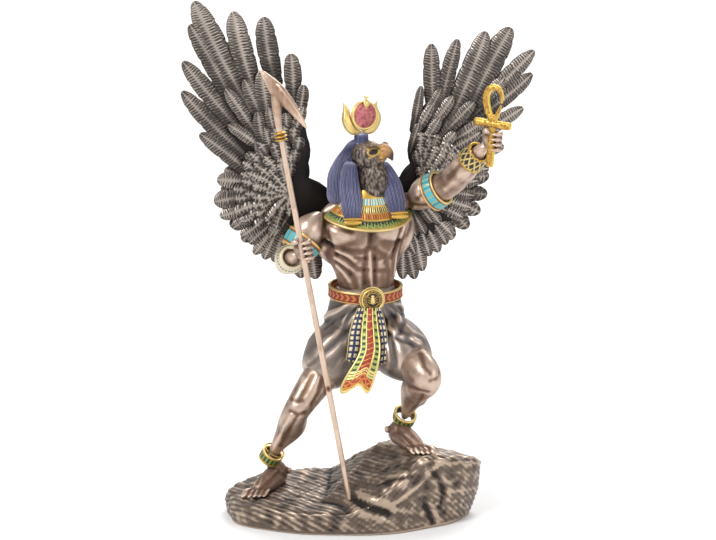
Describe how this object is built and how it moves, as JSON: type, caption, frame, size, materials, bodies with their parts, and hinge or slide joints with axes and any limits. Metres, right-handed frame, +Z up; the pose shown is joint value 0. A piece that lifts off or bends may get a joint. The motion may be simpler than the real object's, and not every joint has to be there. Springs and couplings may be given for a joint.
{
  "type": "winged falcon-headed sun god figurine",
  "caption": "Cold-cast bronze figurine of a winged, falcon-headed Egyptian sun god lunging on a rock with a sceptre and an ankh.",
  "frame": {"origin": "on the flat underside of the rock, near its middle", "axes": "+Z up, -Y towards the side that the figure faces, +X towards the figure's raised left hand"},
  "size_m": [0.1935, 0.09, 0.2805],
  "materials": {
    "rock": "cold-cast bronze resin, dark patina with dry-brushed highlights",
    "bronze": "cold-cast bronze resin, satin, with painted ornament",
    "feather": "cold-cast bronze resin, dark patina with dry-brushed highlights",
    "staff_bronze": "cold-cast bronze resin, polished",
    "gold": "gold paint over hammered texture"
  },
  "bodies": {
    "root": {"rock_base": "rock", "figure": "bronze", "right_wing": "feather", "left_wing": "feather", "was_staff": "staff_bronze", "ankh": "gold"}
  },
  "joints": []
}
